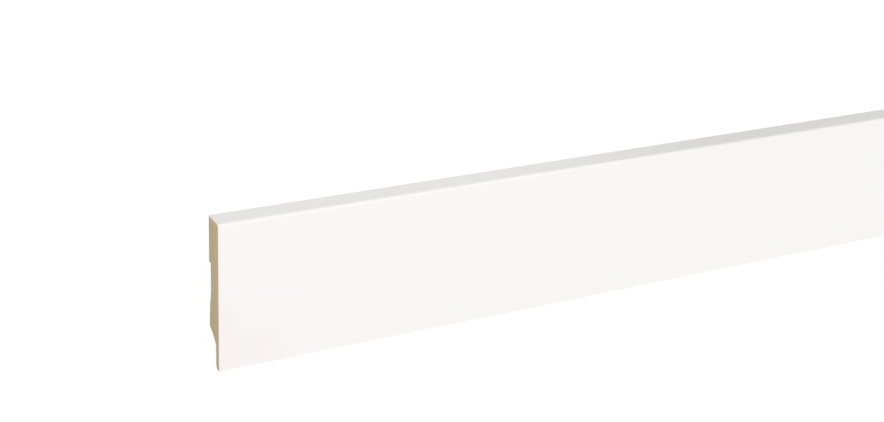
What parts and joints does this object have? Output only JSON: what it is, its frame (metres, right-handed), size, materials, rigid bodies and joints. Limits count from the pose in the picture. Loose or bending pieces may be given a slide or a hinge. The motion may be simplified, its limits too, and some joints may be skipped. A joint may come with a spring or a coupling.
{
  "type": "skirting board length",
  "caption": "Straight length of MDF skirting board: flat white face, rounded top edge, thin foot, and a back cut with a cable channel and a clip recess. It lies on its back.",
  "frame": {"origin": "middle of the length and of the height, in the plane of the wall, which is the floor that the board lies on", "axes": "+X along the board, +Y from the foot to the top edge, +Z from the wall side to the white face"},
  "size_m": [2.4, 0.1, 0.016],
  "materials": {
    "coated_mdf": "satin"
  },
  "bodies": {
    "root": {"skirting_board": "coated_mdf"}
  },
  "joints": []
}
